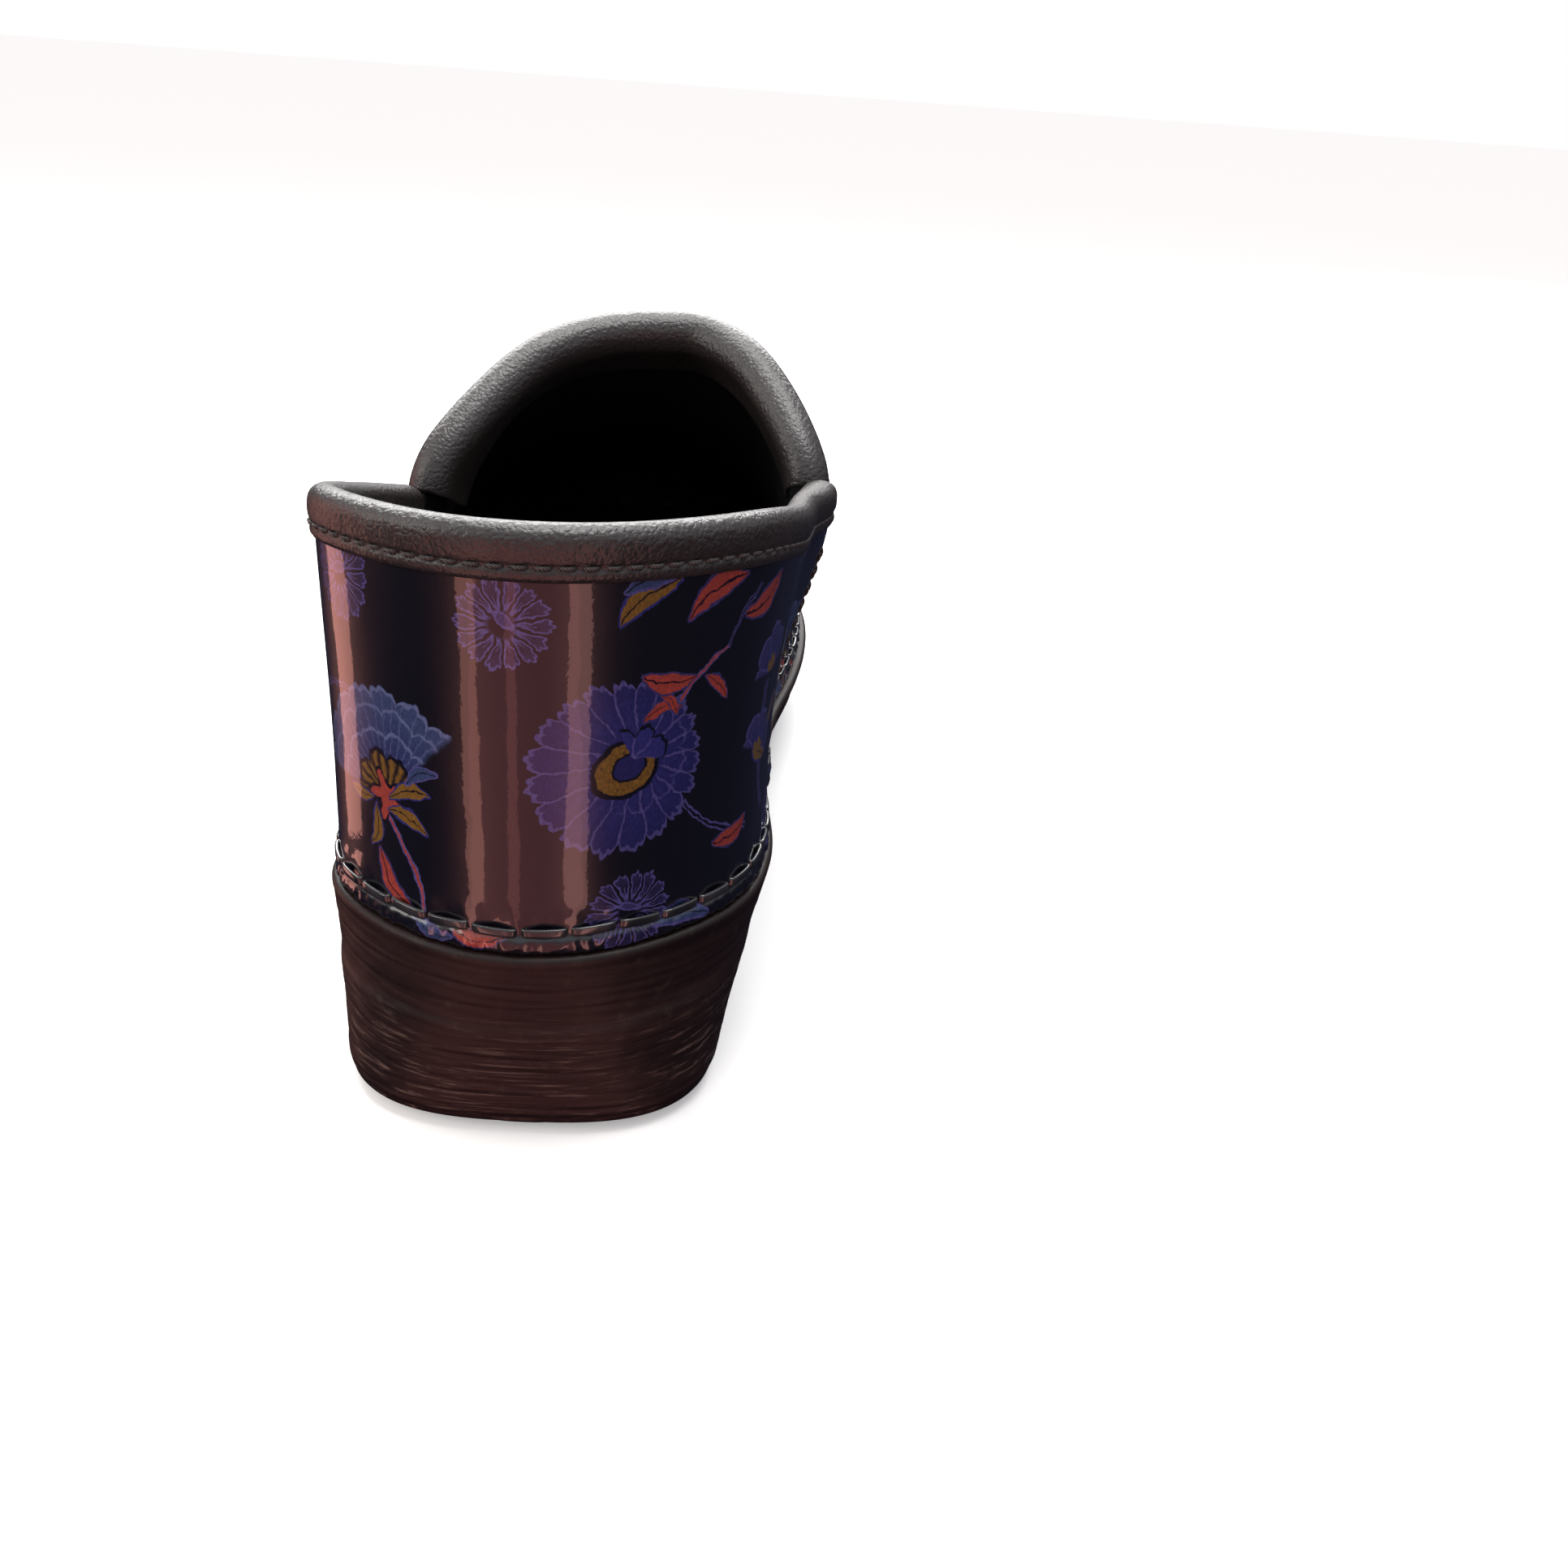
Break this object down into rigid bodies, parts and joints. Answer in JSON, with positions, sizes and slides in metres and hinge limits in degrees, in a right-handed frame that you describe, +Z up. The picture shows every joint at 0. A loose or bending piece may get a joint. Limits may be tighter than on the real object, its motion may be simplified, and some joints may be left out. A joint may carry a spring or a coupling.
{
  "type": "closed-back clog",
  "caption": "Left closed-back clog: glossy floral-print leather upper stapled to a brown moulded rocker sole, with padded brown-black bindings.",
  "frame": {"origin": "on the floor under the middle of the shoe's bounding box", "axes": "+Y towards the toe, +X towards the inner side of the foot, +Z up; the tread rests on z = 0"},
  "size_m": [0.1028, 0.2585, 0.1175],
  "materials": {
    "sole": "satin moulded sole, dark red-brown with fine level layer lines and light scuffs",
    "tread": "matt black non-slip rubber with cross grooves",
    "frame": "moulded frame, matt",
    "steel": "rolled spring steel",
    "foam": "open-cell foam",
    "liner": "dark drill-faced sock liner",
    "patent_leather": "black patent leather with a printed floral pattern, high gloss",
    "lining": "black brushed lining",
    "stiffener": "thermoplastic stiffener board",
    "backer": "felt interlining",
    "binding": "brown-black grained binding leather, satin",
    "tape": "ribbed grey stay tape",
    "thread": "waxed black thread",
    "staple_wire": "black enamelled flat wire"
  },
  "bodies": {
    "root": {"outsole": "sole", "heel_tread_pad": "tread", "forefoot_tread_pad": "tread", "midsole_frame": "frame", "shank": "steel", "heel_cushion": "foam", "footbed_foam": "foam", "sock_liner": "liner", "vamp": "patent_leather", "back_quarter": "patent_leather", "vamp_lining": "lining", "quarter_lining": "lining", "toe_puff": "stiffener", "vamp_backer": "backer", "heel_counter": "stiffener", "instep_pad": "foam", "collar_pad": "foam", "vamp_binding": "binding", "collar_binding": "binding", "vamp_binding_stitches": "thread", "collar_stitches": "thread", "lateral_seam_tape": "tape", "medial_seam_tape": "tape", "lateral_seam_stitches": "thread", "medial_seam_stitches": "thread", "welt_staples": "staple_wire"}
  },
  "joints": []
}
